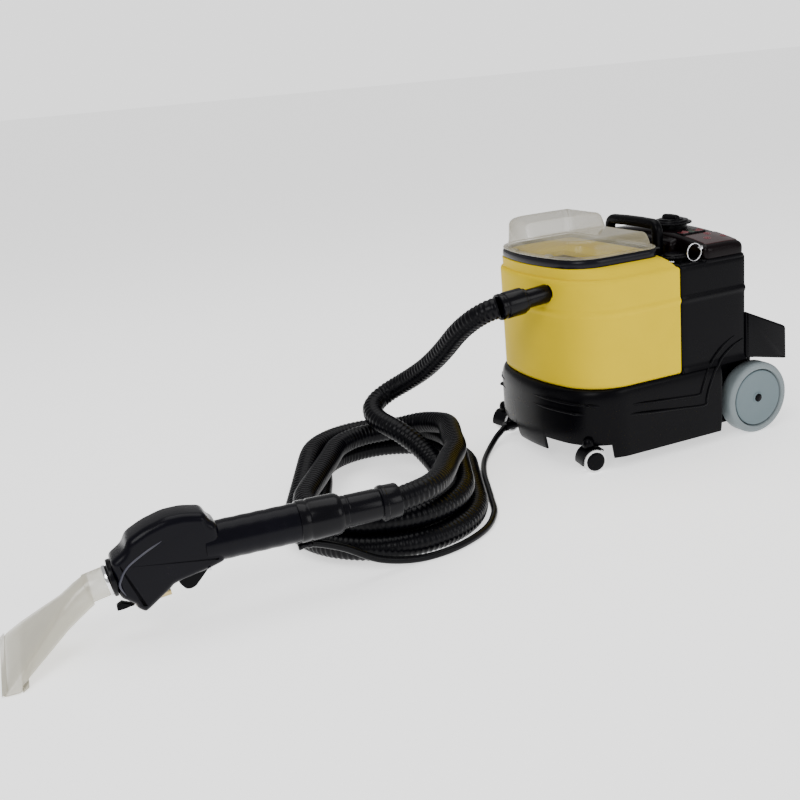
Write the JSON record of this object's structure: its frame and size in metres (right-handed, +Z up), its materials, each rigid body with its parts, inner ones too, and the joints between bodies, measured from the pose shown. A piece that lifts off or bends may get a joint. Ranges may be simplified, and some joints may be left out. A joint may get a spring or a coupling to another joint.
{
  "type": "carpet cleaner",
  "caption": "Wheeled spray extraction carpet cleaner with a yellow tank, clear domed lid, coiled suction hose and a trigger hand tool with a clear mouth.",
  "frame": {"origin": "middle of the floor rectangle under the machine and its hand tool, without the hoses, on the floor", "axes": "+Z up, +Y toward the machine's rear wheels, +X toward the machine's right-hand side seen from behind it"},
  "size_m": [0.5347, 1.3876, 0.4068],
  "materials": {
    "black_plastic": "glossy moulded",
    "cover_plastic": "glossy moulded",
    "tank_yellow": "satin moulded",
    "tank_inner": "satin moulded",
    "rim_plastic": "glossy moulded",
    "lid_clear": "clear smoky moulded",
    "gasket_rubber": "soft matt",
    "label_red": "printed plate, text left out",
    "switch_red": "translucent red",
    "switch_green": "dark green",
    "wheel_tyre": "light grey rubber",
    "wheel_disc": "grey moulded",
    "caster_white": "white with black disc",
    "steel": "bright wire and bar",
    "brass": "turned",
    "motor_grey": "inside piece",
    "inner_plastic": "moulded",
    "float_white": "moulded",
    "cuff_plastic": "glossy moulded",
    "gun_plastic": "glossy blue-black",
    "chrome": "polished",
    "mouth_clear": "milky clear",
    "hose_black": "ribbed flexible hose",
    "line_black": "smooth hose"
  },
  "bodies": {
    "machine": {"base_shell": "black_plastic", "base_pan": "cover_plastic", "rear_fender": "black_plastic", "axle": "steel", "tank_shell": "tank_yellow", "tank_insert": "tank_inner", "inlet_elbow": "inner_plastic", "tank_rim": "rim_plastic", "rear_housing": "black_plastic", "top_cover": "cover_plastic", "label_plate": "label_red", "carry_handle": "black_plastic", "cap_neck": "black_plastic", "filler_neck": "black_plastic", "eyelet": "steel", "bead_chain": "steel", "vacuum_motor": "motor_grey", "pump": "motor_grey", "outlet_pipe": "cuff_plastic", "hose_cuff": "cuff_plastic", "power_inlet": "black_plastic", "exhaust_grille": "black_plastic", "hose_run": "hose_black", "hose_coil": "hose_black", "hose_lead": "hose_black", "solution_fitting": "black_plastic", "solution_run": "line_black", "gun_body": "gun_plastic", "gun_nose": "cuff_plastic", "gun_tube": "cuff_plastic", "grip_tube": "cuff_plastic", "gun_collar": "cuff_plastic", "gun_cuff": "cuff_plastic", "spray_nipple": "brass", "spray_line": "steel", "spray_valve": "brass", "spray_jet": "black_plastic", "chrome_ring": "chrome", "mouth_piece": "mouth_clear", "trigger_pin": "steel"},
    "wheel_near": {"disc_near": "wheel_disc", "tyre_near": "wheel_tyre"},
    "wheel_far": {"disc_far": "wheel_disc", "tyre_far": "wheel_tyre"},
    "caster_near": {"caster_fork_near": "black_plastic"},
    "caster_wheels_near": {"caster_wheels_near": "caster_white"},
    "caster_far": {"caster_fork_far": "black_plastic"},
    "caster_wheels_far": {"caster_wheels_far": "caster_white"},
    "lid": {"lid_shell": "lid_clear", "lid_gasket": "gasket_rubber"},
    "float": {"float_ball": "float_white"},
    "fan": {"fan_wheel": "steel"},
    "switch_a": {"switch_a": "switch_red"},
    "switch_b": {"switch_b": "switch_green"},
    "switch_c": {"switch_c": "switch_red"},
    "ribbed_cap": {"ribbed_cap": "black_plastic"},
    "filler_cap": {"filler_cap": "black_plastic"},
    "split_ring": {"split_ring": "steel"},
    "trigger": {"trigger": "black_plastic"}
  },
  "joints": [
    {"name": "wheel_near_spin", "type": "hinge", "parent": "machine", "child": "wheel_near", "pos_m": [0.071, 0.62575, 0.064], "axis": [1, 0, 0], "continuous": true},
    {"name": "wheel_far_spin", "type": "hinge", "parent": "machine", "child": "wheel_far", "pos_m": [-0.229, 0.62575, 0.064], "axis": [1, 0, 0], "continuous": true},
    {"name": "caster_near_swivel", "type": "hinge", "parent": "machine", "child": "caster_near", "pos_m": [0.058, 0.28145, 0.0205], "axis": [0, 0, 1], "continuous": true},
    {"name": "caster_near_roll", "type": "hinge", "parent": "caster_near", "child": "caster_wheels_near", "pos_m": [0.05904, 0.28736, 0.0205], "axis": [0.9848, -0.1736, 0], "continuous": true},
    {"name": "caster_far_swivel", "type": "hinge", "parent": "machine", "child": "caster_far", "pos_m": [-0.216, 0.28145, 0.0205], "axis": [0, 0, 1], "continuous": true},
    {"name": "caster_far_roll", "type": "hinge", "parent": "caster_far", "child": "caster_wheels_far", "pos_m": [-0.21704, 0.28736, 0.0205], "axis": [-0.9848, -0.1736, 0], "continuous": true},
    {"name": "lid_lift", "type": "slide", "parent": "machine", "child": "lid", "axis": [0, 0, 1], "range_m": [0, 0.08]},
    {"name": "float_rise", "type": "slide", "parent": "machine", "child": "float", "axis": [0, 0, 1], "range_m": [0, 0.015]},
    {"name": "fan_spin", "type": "hinge", "parent": "machine", "child": "fan", "pos_m": [-0.119, 0.52875, 0.07], "axis": [0, 0, 1], "continuous": true},
    {"name": "rocker_a_tilt", "type": "hinge", "parent": "machine", "child": "switch_a", "pos_m": [-0.003, 0.53575, 0.358], "axis": [1, 0, 0], "range_deg": [-6, 6]},
    {"name": "rocker_b_tilt", "type": "hinge", "parent": "machine", "child": "switch_b", "pos_m": [-0.003, 0.55175, 0.358], "axis": [1, 0, 0], "range_deg": [-6, 6]},
    {"name": "rocker_c_tilt", "type": "hinge", "parent": "machine", "child": "switch_c", "pos_m": [-0.003, 0.56775, 0.358], "axis": [1, 0, 0], "range_deg": [-6, 6]},
    {"name": "ribbed_cap_turn", "type": "hinge", "parent": "machine", "child": "ribbed_cap", "pos_m": [-0.061, 0.55675, 0.37], "axis": [0, 0, 1], "range_deg": [0, 90]},
    {"name": "filler_cap_lift", "type": "slide", "parent": "machine", "child": "filler_cap", "axis": [0, 0, 1], "range_m": [0, 0.03]},
    {"name": "split_ring_swing", "type": "hinge", "parent": "machine", "child": "split_ring", "pos_m": [0.0685, 0.51425, 0.3466], "axis": [1, 0, 0], "range_deg": [-8, 0]},
    {"name": "trigger_squeeze", "type": "hinge", "parent": "machine", "child": "trigger", "pos_m": [0.18679, -0.41215, 0.07792], "axis": [0.9962, -0.0872, 0], "range_deg": [-9, 0], "stiffness_Nm_per_rad": 0.4, "springref_deg": 2.86}
  ]
}
